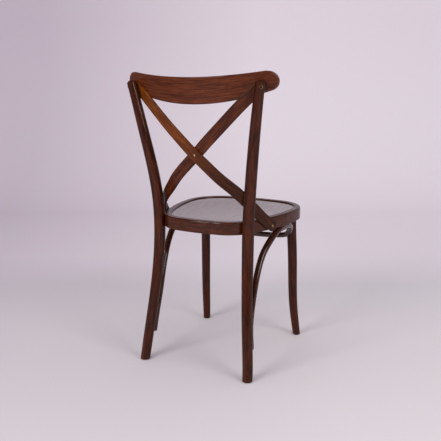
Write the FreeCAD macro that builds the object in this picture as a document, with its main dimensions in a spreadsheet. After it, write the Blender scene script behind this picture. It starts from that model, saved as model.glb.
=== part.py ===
import FreeCAD
import Part
import Sketcher
import math
import os

Vec = FreeCAD.Vector
doc = FreeCAD.newDocument("cross_back_chair")

# Driving dimensions, in millimetres and degrees.
# The chair faces -Y, its plane of symmetry is X = 0 and the floor is Z = 0.
SIZES = {
    # seat
    "seat_top": 460.0,
    "seat_front": 235.3,
    "seat_rear": 199.0,
    "seat_half_width": 201.0,
    "seat_widest_forward": 110.0,
    "seat_front_bow": 700.0,
    "seat_side_bow": 580.0,
    "seat_rear_bow": 520.0,
    "seat_front_corner": 122.0,
    "seat_rear_corner": 96.0,
    "ring_height": 38.0,
    "ring_band": 20.0,
    "ring_ledge": 18.0,
    "ring_top_round": 4.5,
    "ring_bottom_round": 3.0,
    "ring_inner_round": 1.2,
    "panel_recess": 3.5,
    "panel_thickness": 10.0,
    "panel_dish": 4.0,
    # back
    "back_behind_origin": 232.3,
    "back_lean": 9.6,
    "back_bow": 505.0,
    "rail_thickness": 16.0,
    "rail_top_middle": 868.5,
    "rail_depth_middle": 74.5,
    "rail_end_across": 211.5,
    "rail_end_drop": 10.5,
    "rail_end_radius": 26.7,
    "rail_edge_round": 3.0,
    "strip_width": 34.0,
    "strip_thickness": 6.0,
    "strip_corner": 1.3,
    "strip_end_round": 15.0,
    "strip_end_overcut": 0.3,
    "strip_clearance": 0.3,
    # legs and their feet
    "rear_leg_diameter": 35.0,
    "rear_leg_hollow": 1.7,
    "rear_foot_out": 27.3,
    "rear_foot_back": 56.5,
    "front_leg_diameter": 32.0,
    "front_leg_inset": 25.7,
    "front_foot_out": 14.9,
    "front_foot_ahead": 33.4,
    "glide_thickness": 2.5,
    "glide_diameter": 20.0,
    "glide_pin_diameter": 3.0,
    "glide_pin_length": 12.0,
    "post_from_rail_end": 17.0,
    "post_behind_back": 20.6,
    "post_above_bolt": 17.8,
    "leg_top_dome": 16.0,
    "tenon_diameter": 18.0,
    "tenon_length": 16.0,
    # hoop under the seat
    "hoop_arm_diameter": 20.0,
    "hoop_bar_diameter": 17.6,
    "hoop_end_round": 4.0,
    # fasteners
    "bolt_from_rail_end": 14.0,
    "bolt_below_rail_top": 21.6,
    "rail_bolt_diameter": 6.0,
    "rail_bolt_head_diameter": 15.0,
    "rail_bolt_head_height": 3.2,
    "rail_nut_diameter": 8.0,
    "rail_nut_wall": 0.9,
    "rail_nut_length": 20.0,
    "rail_nut_head_diameter": 9.6,
    "rail_nut_head_height": 1.6,
    "rail_nut_sink": 1.4,
    "rail_nut_socket": 9.0,
    "flat_below_bolt": 40.0,
    "rivet_diameter": 4.5,
    "rivet_head_diameter": 7.6,
    "rivet_head_height": 1.5,
    "screw_diameter": 4.0,
    "screw_head_diameter": 8.0,
    "screw_head_height": 1.8,
    "screw_slot_width": 1.1,
    "screw_slot_depth": 0.8,
    "strip_screw_length": 26.0,
    "hoop_screw_sink": 3.5,
    "hoop_rear_screw_length": 30.0,
    "hoop_front_screw_length": 28.0,
    "hoop_seat_screw_length": 32.0,
    "front_leg_screw_length": 60.0,
    "leg_bolt_diameter": 8.0,
    "leg_bolt_in_leg": 24.0,
    "bolt_over_nut": 3.0,
    "spot_face_depth": 1.5,
    "washer_diameter": 18.0,
    "washer_thickness": 1.6,
    "nut_across_flats": 13.0,
    "nut_height": 6.5,
    "hole_clearance": 0.1,
    "seat_clearance": 0.15,
}

sheet = doc.addObject("Spreadsheet::Sheet", "sizes")
for row, (alias, value) in enumerate(SIZES.items(), start=1):
    sheet.set(f"A{row}", alias)
    sheet.set(f"B{row}", str(value))
    sheet.setAlias(f"B{row}", alias)
doc.recompute()


class Cells:
    """Reads a driving dimension from the sheet by its name."""

    def __getattr__(self, alias):
        return float(sheet.get(alias))


size = Cells()

# Rear leg below the seat ring: share of the ring's height above the floor,
# share of the foot's splay outwards, share of its splay backwards, share of the leg's thickness.
REAR_LEG_BELOW = [
    (0.2844, 0.623, 0.665, 0.894),
    (0.5687, 0.234, 0.324, 0.929),
    (0.7820, 0.051, 0.104, 0.977),
]
REAR_FOOT_SHARE = 0.857
# Rear leg above the seat: share of the way up to the rail bolt, share of the way outwards,
# share of the way backwards, share of the leg's thickness.
REAR_LEG_ABOVE = [
    (0.2704, 0.140, 0.096, 0.977),
    (0.6444, 0.538, 0.553, 0.905),
    (1.0, 1.0, 1.0, 0.789),
]
REAR_TOP_SHARE = 0.771
# How far the post's middle line moves outwards and backwards for each millimetre above the bolt.
POST_TOP_SLOPE = (0.195, 0.186)
# Front leg, in the same way as the rear leg below the ring.
FRONT_LEG_BELOW = [
    (0.1066, 0.779, 0.784, 0.828),
    (0.2370, 0.537, 0.524, 0.875),
    (0.5213, 0.309, 0.284, 0.9375),
    (0.7820, 0.141, 0.129, 0.969),
]
FRONT_FOOT_SHARE = 0.781
# Directions in plan from the middle of the seat's corners to the legs, in degrees from +X.
REAR_LEG_DIRECTION = 34.26
FRONT_LEG_DIRECTION = -31.24

# Hoop rows beside the rear leg: share of the ring's height above the floor.
HOOP_BESIDE_REAR_LEG = {
    "end": 0.194,
    "rear screw": 0.256,
    "calf": 0.347,
}
# The hoop lies ahead of the rear leg and a little inside it, in degrees from +X on the left side.
HOOP_REAR_DIRECTION = -94.5
# Hoop rows up to the seat ring and down again: share of the seat's half width,
# share of the seat's length behind or ahead of the origin, share of the ring's height above the floor.
HOOP_ARCH = {
    "shin": (0.796, 0.764, 0.491),
    "rise": (0.8065, 0.596, 0.718),
    "upper rise": (0.8264, 0.444, 0.838),
    "bend": (0.8517, 0.302, 0.900),
    "upper bend": (0.8741, 0.129, 0.9502),
    "crown rear": (0.8886, -0.034, 0.9742),
    "seat screw": (0.8930, -0.144, 0.9757),
    "crown front": (0.8935, -0.255, 0.9742),
    "fall": (0.8821, -0.406, 0.9573),
}
# Hoop rows round the front leg: steps outwards and backwards from it in hoop thicknesses,
# and share of the ring's height above the floor.
HOOP_CORNER = {
    "corner": (0.38, 1.88, 0.9142),
    "front screw": (-0.385, 1.2675, 0.8704),
    "corner end": (-1.415, 0.905, 0.8521),
}
# Hoop rows of the bar: share of the front leg's distance from the middle,
# step backwards from the front leg in hoop thicknesses, share of the ring's height above the floor.
HOOP_BAR = {
    "bar end": (0.652, 0.795, 0.8436),
    "bar quarter": (0.373, 0.795, 0.8389),
    "bar middle": (0.0, 0.795, 0.8377),
}

# Each cross strip from its top end, on the rail, to where it nears the seat.
# Rows on the back: share of the rail bolt's distance from the middle, share of the way
# from the seat up to the bolt, turn of the strip's face in degrees.
STRIP_ON_BACK = [
    (1.0580, 1.0214, 23.3),
    (0.9114, 0.9522, 21.5),
    (0.7924, 0.8969, 19.5),
    (0.5975, 0.7976, 17.0),
    (0.3949, 0.6932, 12.0),
    (0.1772, 0.5862, 6.0),
    (0.0, 0.4962, 0.0),
    (-0.1418, 0.4296, -4.5),
    (-0.3544, 0.3252, -11.0),
]
CROSSING_ROW = 6
# Rows between the back and the seat: shares of the way across, forwards and down,
# turn of the face in degrees, share of the back's lean.
STRIP_IN_AIR = {
    "outer": [
        (0.4355, 0.2814, 0.3324, -22.0, 0.9),
        (0.6368, 0.4171, 0.5098, -34.0, 0.7),
        (0.7961, 0.5762, 0.6804, -47.0, 0.5),
        (0.9103, 0.7736, 0.8410, -58.5, 0.25),
    ],
    "inner": [
        (0.4374, 0.3312, 0.3346, -22.0, 0.9),
        (0.6380, 0.4359, 0.5114, -34.0, 0.7),
        (0.7968, 0.5649, 0.6815, -47.0, 0.5),
        (0.9106, 0.7675, 0.8416, -58.5, 0.25),
    ],
}
# Rows on the side of the seat: share of the seat's length behind the origin,
# height above the seat's top as a share of the ring's height.
STRIP_ON_SEAT = [
    (0.4925, 0.147),
    (0.3844, -0.300),
    (0.2814, -0.676),
    (0.2211, -0.884),
]
SCREW_ROW = 2
# How far each strip's middle leaves the back's surface where the two cross, in strip thicknesses,
# and how far along the back it does so, as a share of the rail bolt's distance from the middle.
STRIP_CROSSING = {"outer": 0.333, "inner": -0.75}
CROSSING_REACH = 0.3544

SIDES = {"left": 1, "right": -1}
UP = Vec(0, 0, 1)
EDGE_MATCH = 0.01
# A cutter is made this many times longer than what it passes through.
PAST = 4
nodes = {}


def keep(label, obj):
    """Names a finished sub-part and puts it on the list of nodes."""
    obj.Label = label
    nodes[label] = obj
    return obj


def cell(name):
    return "sizes." + name


# General helpers for documents, sketches and booleans.

def origin_plane(body, role):
    for feature in body.Origin.OriginFeatures:
        if feature.Role == role:
            return feature
    raise ValueError(role)


def add_sketch(body, name, role="XY_Plane", offset=Vec(0, 0, 0)):
    sketch = body.newObject("Sketcher::SketchObject", name)
    sketch.AttachmentSupport = [(origin_plane(body, role), "")]
    sketch.MapMode = "FlatFace"
    sketch.AttachmentOffset = FreeCAD.Placement(offset, FreeCAD.Rotation())
    return sketch


def circle_sketch(body, name, centre, diameter):
    """A circle of one diameter, parallel to the floor, with its middle at centre."""
    sketch = add_sketch(body, name, offset=centre)
    sketch.addGeometry(Part.Circle(Vec(0, 0, 0), Vec(0, 0, 1), diameter / 2), False)
    sketch.addConstraint(Sketcher.Constraint("Coincident", 0, 3, -1, 1))
    index = sketch.addConstraint(Sketcher.Constraint("Diameter", 0, diameter))
    sketch.renameConstraint(index, "diameter")
    return sketch


def along(point, direction):
    """A placement whose Z axis points along direction."""
    return FreeCAD.Placement(point, FreeCAD.Rotation(Vec(0, 0, 1), direction))


def cylinder(name, diameter, height, placement):
    """A cylinder whose diameter and height are expressions on the sheet."""
    solid = doc.addObject("Part::Cylinder", name)
    solid.setExpression("Radius", f"({diameter}) / 2")
    solid.setExpression("Height", height)
    solid.Placement = placement
    return solid


def fuse(name, shapes):
    joined = doc.addObject("Part::MultiFuse", name)
    joined.Shapes = shapes
    return joined


def cut(name, base, tools):
    """Base with every tool taken away from it."""
    result = doc.addObject("Part::Cut", name)
    result.Base = base
    result.Tool = tools[0] if len(tools) == 1 else fuse(name + "_tools", tools)
    return result


def feature(name, shape):
    solid = doc.addObject("Part::Feature", name)
    solid.Shape = shape
    return solid


def compound(name, shapes):
    group = doc.addObject("Part::Compound", name)
    group.Links = shapes
    return group


# The seat's outline: arcs that run into each other, the same for every inset.

def corner_centre(side_centre, end_centre, end_radius, corner_radius):
    """Middle of the left corner's arc, which touches the side's arc and the front's or rear's arc."""
    side_reach = size.seat_side_bow - corner_radius
    end_reach = end_radius - corner_radius
    step = end_centre - side_centre
    foot = (side_reach ** 2 - end_reach ** 2 + step.Length ** 2) / (2 * step.Length)
    offset = math.sqrt(side_reach ** 2 - foot ** 2)
    ahead = step / step.Length
    sideways = Vec(-ahead.y, ahead.x, 0)
    points = [side_centre + ahead * foot + sideways * offset * sign for sign in (1, -1)]
    return max(points, key=lambda point: point.x)


def arc_about(centre, radius, start_direction, end_direction):
    """An arc about centre from one direction round to another."""
    start = start_direction / start_direction.Length
    end = end_direction / end_direction.Length
    middle = (start + end) / (start + end).Length
    return Part.Arc(centre + start * radius, centre + middle * radius, centre + end * radius)


def mirrored(point, side):
    return Vec(point.x * side, point.y, point.z)


def seat_centres():
    """Middles of the arcs of the left side, the front, the rear, the front corner and the rear corner."""
    side = Vec(size.seat_half_width - size.seat_side_bow, -size.seat_widest_forward, 0)
    front = Vec(0, size.seat_front_bow - size.seat_front, 0)
    rear = Vec(0, size.seat_rear - size.seat_rear_bow, 0)
    front_corner = corner_centre(side, front, size.seat_front_bow, size.seat_front_corner)
    rear_corner = corner_centre(side, rear, size.seat_rear_bow, size.seat_rear_corner)
    return side, front, rear, front_corner, rear_corner


def seat_outline(inset):
    """Arcs of the seat's outline in the XY plane, set in by one distance all round."""
    side_centre, front_centre, rear_centre, front, rear = seat_centres()
    front_end = front - front_centre
    rear_end = rear - rear_centre
    side_front = front - side_centre
    side_rear = rear - side_centre
    arcs = [
        arc_about(front_centre, size.seat_front_bow - inset, front_end, mirrored(front_end, -1)),
        arc_about(rear_centre, size.seat_rear_bow - inset, rear_end, mirrored(rear_end, -1)),
    ]
    rows = [
        (front, size.seat_front_corner, front_end, side_front),
        (side_centre, size.seat_side_bow, side_front, side_rear),
        (rear, size.seat_rear_corner, side_rear, rear_end),
    ]
    for side in SIDES.values():
        for centre, radius, start, end in rows:
            directions = (mirrored(start, side), mirrored(end, side))
            arcs.append(arc_about(mirrored(centre, side), radius - inset, *directions))
    return arcs


def wire_of(arcs):
    return Part.Wire(Part.__sortEdges__([arc.toShape() for arc in arcs]))


def seat_prism(name, inset, bottom, height):
    """A solid block with the seat's outline, from bottom upwards."""
    face = Part.Face(wire_of(seat_outline(inset)))
    face.translate(Vec(0, 0, bottom))
    return feature(name, face.extrude(Vec(0, 0, height)))


def on_seat_outline(point):
    """The point of the seat's outline nearest to a point, in the XY plane."""
    flat = Part.Vertex(Vec(point.x, point.y, 0))
    pairs = wire_of(seat_outline(0)).distToShape(flat)[1]
    return pairs[0][0]


# Heights and places that several pieces share.

def ring_bottom_height():
    return size.seat_top - size.ring_height


def bolt_height():
    return size.rail_top_middle - size.bolt_below_rail_top


def bolt_across():
    return size.rail_end_across - size.bolt_from_rail_end


def plan_direction(degrees):
    angle = math.radians(degrees)
    return Vec(math.cos(angle), math.sin(angle), 0)


def between(low, high, share):
    return low + (high - low) * share


# The back's surface is the rear face of the top rail, bowed in plan and leaned back.

def back_slope():
    return math.tan(math.radians(size.back_lean))


def back_normal(across):
    depth = math.sqrt(size.back_bow ** 2 - across ** 2)
    return Vec(across / depth, 1, -back_slope()).normalize()


def back_centre(height):
    """Middle of the back's bow at one height."""
    rise = height - bolt_height()
    return Vec(0, size.back_behind_origin - size.back_bow + back_slope() * rise, height)


def back_point(across, height, behind=0.0):
    """A point behind the back's surface, measured square to it."""
    depth = math.sqrt(size.back_bow ** 2 - across ** 2)
    return back_centre(height) + Vec(across, depth, 0) + back_normal(across) * behind


def back_band(name, behind_low, behind_high, bottom, top, reach):
    """A leaned and bowed slab between two distances behind the back's surface."""
    half_angle = math.asin(reach / size.back_bow)
    directions = [Vec(math.sin(angle), math.cos(angle), 0) for angle in (-half_angle, 0, half_angle)]
    centre = back_centre(bottom)
    inner = [centre + direction * (size.back_bow + behind_low) for direction in directions]
    outer = [centre + direction * (size.back_bow + behind_high) for direction in directions]
    edges = [
        Part.Arc(*inner).toShape(),
        Part.makeLine(inner[2], outer[2]),
        Part.Arc(*outer).toShape(),
        Part.makeLine(outer[0], inner[0]),
    ]
    face = Part.Face(Part.Wire(Part.__sortEdges__(edges)))
    return feature(name, face.extrude(back_centre(top) - centre))


# Fasteners and the holes for them.

def dome_head(name, diameter, height, placement):
    """A head that is flat beneath and domed above."""
    disc = cylinder(name + "_disc", diameter, height, FreeCAD.Placement())
    radius = f"(({diameter} / 2) ^ 2 + {height} ^ 2) / (2 * {height})"
    dome = doc.addObject("Part::Sphere", name + "_dome")
    dome.setExpression("Radius", radius)
    dome.setExpression("Placement.Base.z", f"{height} - {radius}")
    head = doc.addObject("Part::Common", name)
    head.Base = disc
    head.Tool = dome
    head.Placement = placement
    return head


def slotted_screw(name, point, direction, length):
    """A screw whose head bears on point and whose shank runs along direction."""
    outward = along(point, direction * -1)
    head = dome_head(name + "_head", cell("screw_head_diameter"), cell("screw_head_height"), outward)
    shank = cylinder(name + "_shank", cell("screw_diameter"), length, along(point, direction))
    slot = doc.addObject("Part::Box", name + "_slot")
    slot.setExpression("Length", cell("screw_head_diameter"))
    slot.setExpression("Width", cell("screw_slot_width"))
    slot.setExpression("Height", cell("screw_head_height"))
    floor = size.screw_head_height - size.screw_slot_depth
    corner = Vec(-size.screw_head_diameter / 2, -size.screw_slot_width / 2, floor)
    slot.Placement = outward.multiply(FreeCAD.Placement(corner, FreeCAD.Rotation()))
    return cut(name, fuse(name + "_blank", [head, shank]), [slot])


def hole(name, diameter, length, point, direction):
    """A cutter for something of the given diameter and length, with the shared clearance."""
    wide = f"{diameter} + 2 * sizes.hole_clearance"
    return cylinder(name, wide, f"{length} + sizes.hole_clearance", along(point, direction))


def screw_hole(name, point, direction, length):
    return hole(name, cell("screw_diameter"), length, point, direction)


def head_hole(name, point, direction):
    """A cutter that sinks a screw's head, from its seat out of the wood."""
    return hole(name, cell("screw_head_diameter"), f"{PAST} * sizes.hoop_screw_sink", point, direction * -1)


# Seat ring: a bent rim with a rebate inside its top edge.

def outline_sketch(body, name, height, insets):
    sketch = add_sketch(body, name, offset=Vec(0, 0, height))
    for inset in insets:
        for arc in seat_outline(inset):
            sketch.addGeometry(arc, False)
    return sketch


def rim_edges(shape, height, lowest_inset, highest_inset):
    """Names of the edges at one height between two distances inside the seat's outline."""
    outline = wire_of(seat_outline(0))
    found = []
    for index, edge in enumerate(shape.Edges, start=1):
        box = edge.BoundBox
        level = abs(box.ZMin - height) < EDGE_MATCH and abs(box.ZMax - height) < EDGE_MATCH
        middle = edge.valueAt((edge.FirstParameter + edge.LastParameter) / 2)
        inset = outline.distToShape(Part.Vertex(Vec(middle.x, middle.y, 0)))[0]
        if level and lowest_inset <= inset <= highest_inset:
            found.append(f"Edge{index}")
    return found


def round_rim(body, base, name, height, insets, radius):
    rounded = body.newObject("PartDesign::Fillet", name)
    rounded.Base = (base, rim_edges(base.Shape, height, *insets))
    rounded.setExpression("Radius", radius)
    doc.recompute()
    return rounded


def make_ring_body():
    body = doc.addObject("PartDesign::Body", "ring_body")
    rim = body.newObject("PartDesign::Pad", "rim")
    rim.Profile = outline_sketch(body, "rim_outline", size.seat_top, [0, size.ring_band + size.ring_ledge])
    rim.Reversed = True
    rim.setExpression("Length", cell("ring_height"))
    rebate = body.newObject("PartDesign::Pocket", "rebate")
    rebate.Profile = outline_sketch(body, "rebate_outline", size.seat_top, [size.ring_band])
    rebate.setExpression("Length", "sizes.panel_recess + sizes.panel_thickness")
    doc.recompute()
    outside = (0, size.ring_band / 2)
    inside = (size.ring_band / 2, size.ring_band + size.ring_ledge / 2)
    top_edge = round_rim(body, rebate, "top_edge", size.seat_top, outside, cell("ring_top_round"))
    low_edge = round_rim(body, top_edge, "low_edge", ring_bottom_height(), outside, cell("ring_bottom_round"))
    round_rim(body, low_edge, "inner_edge", size.seat_top, inside, cell("ring_inner_round"))
    return body


# Seat panel: slightly dished, let into the ring's rebate.

def make_panel():
    body = doc.addObject("PartDesign::Body", "panel_body")
    top = size.seat_top - size.panel_recess
    board = body.newObject("PartDesign::Pad", "board")
    board.Profile = outline_sketch(body, "panel_outline", top, [size.ring_band + size.seat_clearance])
    board.Reversed = True
    board.setExpression("Length", cell("panel_thickness"))
    half_width = size.seat_half_width - size.ring_band
    dish_radius = (half_width ** 2 + size.panel_dish ** 2) / (2 * size.panel_dish)
    dish = doc.addObject("Part::Sphere", "dish")
    dish.Radius = dish_radius
    middle = (size.seat_rear - size.seat_front) / 2
    dish.Placement.Base = Vec(0, middle, top + dish_radius - size.panel_dish)
    return cut("panel", body, [dish])


# Round legs: each one is lofted through circles at its stations.
# A station is the middle of a circle on the left side of the chair and its diameter.

def rear_leg_at_seat():
    """Middle of the left rear leg beside the seat ring, seen in plan."""
    corner = seat_centres()[4]
    reach = size.seat_rear_corner + size.rear_leg_diameter / 2 - size.rear_leg_hollow
    return corner + plan_direction(REAR_LEG_DIRECTION) * reach


def post_at_bolt():
    """Middle of the left post at the rail bolt's height, a little nearer the chair's middle than the bolt."""
    across = size.rail_end_across - size.post_from_rail_end
    return back_point(across, bolt_height(), size.post_behind_back)


def rear_leg_stations():
    seat = rear_leg_at_seat()
    bolt = post_at_bolt()
    diameter = size.rear_leg_diameter
    bearing = (ring_bottom_height() + size.seat_top) / 2
    splay = Vec(size.rear_foot_out, size.rear_foot_back, 0)
    stations = [(seat + splay + UP * size.glide_thickness, diameter * REAR_FOOT_SHARE)]
    for height, out, back, thick in REAR_LEG_BELOW:
        point = seat + Vec(splay.x * out, splay.y * back, ring_bottom_height() * height)
        stations.append((point, diameter * thick))
    stations.append((seat + UP * bearing, diameter))
    for height, out, back, thick in REAR_LEG_ABOVE:
        across = between(seat.x, bolt.x, out)
        behind = between(seat.y, bolt.y, back)
        stations.append((Vec(across, behind, between(bearing, bolt.z, height)), diameter * thick))
    out, back = POST_TOP_SLOPE
    top = bolt + Vec(out, back, 1) * size.post_above_bolt
    stations.append((top, diameter * REAR_TOP_SHARE))
    return stations


def front_leg_stations():
    corner = seat_centres()[3]
    seat = corner + plan_direction(FRONT_LEG_DIRECTION) * (size.seat_front_corner - size.front_leg_inset)
    diameter = size.front_leg_diameter
    splay = Vec(size.front_foot_out, -size.front_foot_ahead, 0)
    stations = [(seat + splay + UP * size.glide_thickness, diameter * FRONT_FOOT_SHARE)]
    for height, out, ahead, thick in FRONT_LEG_BELOW:
        point = seat + Vec(splay.x * out, splay.y * ahead, ring_bottom_height() * height)
        stations.append((point, diameter * thick))
    stations.append((seat + UP * ring_bottom_height(), diameter))
    return stations


def make_leg_body(name, stations, side):
    body = doc.addObject("PartDesign::Body", name + "_body")
    circles = []
    for index, (point, diameter) in enumerate(stations):
        circles.append(circle_sketch(body, f"{name}_station_{index}", mirrored(point, side), diameter))
    loft = body.newObject("PartDesign::AdditiveLoft", name + "_wood")
    loft.Profile = circles[0]
    loft.Sections = circles[1:]
    doc.recompute()
    return body


def leg_section(leg, height):
    """Middle and radius of a leg's section at one height."""
    face = Part.Face(leg.Shape.slice(UP, height)[0])
    return face.CenterOfMass, math.sqrt(face.Area / math.pi)


def dome_cutter(name, stations, side):
    """Takes the corner off the top of a leg and leaves it domed."""
    top = mirrored(stations[-1][0], side)
    axis = (top - mirrored(stations[-2][0], side)).normalize()
    radius = size.leg_top_dome
    drop = radius - math.sqrt(radius ** 2 - (stations[-1][1] / 2) ** 2)
    width = f"{PAST} * sizes.leg_top_dome"
    block = cylinder(name + "_block", width, width, along(top - axis * drop, axis))
    ball = doc.addObject("Part::Sphere", name + "_ball")
    ball.setExpression("Radius", cell("leg_top_dome"))
    ball.Placement.Base = top - axis * radius
    return cut(name, block, [ball])


def glide_hole(name, foot):
    return hole(name, cell("glide_pin_diameter"), cell("glide_pin_length"), foot, UP)


def make_glide(name, foot):
    disc = cylinder(name + "_disc", cell("glide_diameter"), cell("glide_thickness"), along(foot, UP * -1))
    pin = cylinder(name + "_pin", cell("glide_pin_diameter"), cell("glide_pin_length"), along(foot, UP))
    return fuse(name, [disc, pin])


# Cross strips: flat bent wood, lofted through rounded rectangles.

def strip_frame(centre, tangent, normal):
    """A placement whose axes are the strip's width, its thickness and its run."""
    thick = (normal - tangent * normal.dot(tangent)).normalize()
    broad = thick.cross(tangent).normalize()
    return FreeCAD.Placement(centre, FreeCAD.Rotation(broad, thick, tangent, "ZXY"))


def strip_section(frame):
    """The strip's outline, square to its run."""
    half_width = size.strip_width / 2
    half_thickness = size.strip_thickness / 2
    corner = size.strip_corner
    bevel = corner * (1 - math.sqrt(0.5))
    edges = []
    ends = []
    for wide, thick in ((1, 1), (-1, 1), (-1, -1), (1, -1)):
        beside = Vec(wide * half_width, thick * (half_thickness - corner), 0)
        middle = Vec(wide * (half_width - bevel), thick * (half_thickness - bevel), 0)
        above = Vec(wide * (half_width - corner), thick * half_thickness, 0)
        turn = (beside, middle, above) if wide == thick else (above, middle, beside)
        edges.append(Part.Arc(*turn).toShape())
        ends.append(turn)
    for turn, following in zip(ends, ends[1:] + ends[:1]):
        edges.append(Part.makeLine(turn[2], following[0]))
    ordered = [edge for pair in zip(edges[:4], edges[4:]) for edge in pair]
    wire = Part.Wire(ordered)
    wire.Placement = frame
    return wire


def strip_rows(kind):
    """Middle points and face directions of one strip, with its top end on the left."""
    rest = size.strip_thickness / 2 + size.strip_clearance
    rows = []
    for across, height, turn in STRIP_ON_BACK:
        leave = STRIP_CROSSING[kind] * size.strip_thickness * math.exp(-(across / CROSSING_REACH) ** 4)
        level = between(size.seat_top, bolt_height(), height)
        rows.append((back_point(across * bolt_across(), level, rest + leave), strip_normal(turn, 1)))
    side_centre = mirrored(seat_centres()[0], -1)
    on_seat = []
    for behind, height in STRIP_ON_SEAT:
        ahead = behind * size.seat_rear - side_centre.y
        across = side_centre.x - math.sqrt((size.seat_side_bow + rest) ** 2 - ahead ** 2)
        point = Vec(across, behind * size.seat_rear, size.seat_top + height * size.ring_height)
        normal = (Vec(across, behind * size.seat_rear, 0) - side_centre).normalize()
        on_seat.append((point, normal))
    start = rows[-1][0]
    end = on_seat[0][0]
    for across, forwards, down, turn, share in STRIP_IN_AIR[kind]:
        shares = zip(start, end, (across, forwards, down))
        point = Vec(*[between(high, low, way) for high, low, way in shares])
        rows.append((point, strip_normal(turn, share)))
    return rows + on_seat


def strip_normal(turn, share_of_lean):
    angle = math.radians(turn)
    return Vec(math.sin(angle), math.cos(angle), -back_slope() * share_of_lean * math.cos(angle))


def make_strip_wood(name, kind, side):
    """The lofted strip and the frames of its sections."""
    rows = [(mirrored(point, side), mirrored(normal, side)) for point, normal in strip_rows(kind)]
    path = Part.BSplineCurve()
    path.interpolate([point for point, _ in rows])
    frames = []
    for point, normal in rows:
        tangent = path.tangent(path.parameter(point))[0]
        frames.append(strip_frame(point, tangent, normal))
    wood = Part.makeLoft([strip_section(frame) for frame in frames], True, False)
    return feature(name, wood), frames


def end_corner_cutters(name, frame, outwards):
    """Rounds the two corners of a strip's end."""
    round_radius = size.strip_end_round
    inset = size.strip_width / 2 - round_radius
    deep = PAST * size.strip_thickness
    cutters = []
    for side_name, side in SIDES.items():
        block = doc.addObject("Part::Box", f"{name}_{side_name}_block")
        block.Length = 2 * round_radius
        block.Width = deep
        block.Height = 2 * round_radius
        start = inset if side > 0 else -inset - 2 * round_radius
        corner = Vec(start, -deep / 2, -round_radius)
        block.Placement = frame.multiply(FreeCAD.Placement(corner, FreeCAD.Rotation()))
        pivot = Vec(side * inset, -deep, -outwards * round_radius)
        across_thickness = FreeCAD.Rotation(Vec(0, 0, 1), Vec(0, 1, 0))
        barrel = cylinder(
            f"{name}_{side_name}_barrel",
            "2 * (sizes.strip_end_round + sizes.strip_end_overcut)",
            f"{2 * PAST} * sizes.strip_thickness",
            frame.multiply(FreeCAD.Placement(pivot, across_thickness)))
        cutters.append(cut(f"{name}_{side_name}", block, [barrel]))
    return cutters


# Top rail: the back's bow cut to its outline as seen from the front.

def make_rail():
    rail_bottom_middle = size.rail_top_middle - size.rail_depth_middle
    end = Vec(size.rail_end_across, size.rail_top_middle - size.rail_end_drop, 0)
    radius = size.rail_end_radius
    top_rise = size.rail_end_drop
    low_drop = size.rail_depth_middle - size.rail_end_drop
    top_bow = (end.x ** 2 + top_rise ** 2 - radius ** 2) / (2 * (radius - top_rise))
    low_bow = (end.x ** 2 + low_drop ** 2 - radius ** 2) / (2 * (low_drop - radius))
    top_centre = Vec(0, size.rail_top_middle + top_bow, 0)
    low_centre = Vec(0, rail_bottom_middle + low_bow, 0)
    to_top = end - top_centre
    to_low = end - low_centre
    arcs = [
        arc_about(top_centre, top_bow, to_top, mirrored(to_top, -1)),
        arc_about(low_centre, low_bow, to_low, mirrored(to_low, -1)),
    ]
    for side in SIDES.values():
        turning = (mirrored(to_top * -1, side), mirrored(to_low, side))
        arcs.append(end_arc(mirrored(end, side), radius, *turning, side))
    body = doc.addObject("PartDesign::Body", "rail_outline_body")
    sketch = add_sketch(body, "rail_outline", role="XZ_Plane")
    for arc in arcs:
        sketch.addGeometry(arc, False)
    slab = body.newObject("PartDesign::Pad", "rail_slab")
    slab.Profile = sketch
    slab.Midplane = True
    slab.setExpression("Length", f"{PAST} * sizes.back_behind_origin")
    reach = size.rail_end_across + 2 * radius
    low = rail_bottom_middle - radius
    high = size.rail_top_middle + 2 * radius
    band = back_band("rail_bow", -size.rail_thickness, 0, low, high, reach)
    wood = doc.addObject("Part::Common", "rail_wood")
    wood.Base = band
    wood.Tool = body
    doc.recompute()
    rounded = doc.addObject("Part::Fillet", "rail_rounded")
    rounded.Base = wood
    soft = size.rail_edge_round
    rounded.Edges = [(index, soft, soft) for index, edge in enumerate(wood.Shape.Edges, start=1)
                     if edge.Length > size.rail_thickness + soft]
    doc.recompute()
    return rounded


def end_arc(centre, radius, start_direction, end_direction, side):
    """The rail's round end, which turns outwards between two directions."""
    start = centre + start_direction / start_direction.Length * radius
    end = centre + end_direction / end_direction.Length * radius
    return Part.Arc(start, centre + Vec(side * radius, 0, 0), end)


# Hoop: one bent round bar that stiffens the legs beneath the seat.

def hoop_route():
    """Named points of the hoop's middle line on the left side of the chair."""
    low = ring_bottom_height()
    radius = size.hoop_arm_diameter / 2
    thickness = size.hoop_arm_diameter
    ahead = plan_direction(HOOP_REAR_DIRECTION)
    route = {}
    for name, share in HOOP_BESIDE_REAR_LEG.items():
        height = share * low
        middle, leg_radius = leg_section(rear_blanks["left"], height)
        below = leg_section(rear_blanks["left"], height - thickness)[0]
        lean = (middle - below).getAngle(UP)
        route[name] = middle + ahead * (leg_radius + (radius + size.seat_clearance) / math.cos(lean))
    for name, (across, behind, height) in HOOP_ARCH.items():
        length = size.seat_rear if behind > 0 else size.seat_front
        route[name] = Vec(across * size.seat_half_width, behind * length, height * low)
    crown = low - radius - size.seat_clearance
    route["seat screw"].z = crown
    for name, (out, back, height) in HOOP_CORNER.items():
        leg = leg_section(front_blanks["left"], height * low)[0]
        route[name] = leg + Vec(out, back, 0) * thickness
    leg, leg_radius = leg_section(front_blanks["left"], route["front screw"].z)
    away = (route["front screw"] - leg).normalize()
    route["front screw"] = leg + away * (leg_radius + radius + size.seat_clearance)
    for name, (across, back, height) in HOOP_BAR.items():
        leg = leg_section(front_blanks["left"], height * low)[0]
        route[name] = Vec(across * leg.x, leg.y + back * thickness, height * low)
    return route


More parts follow.
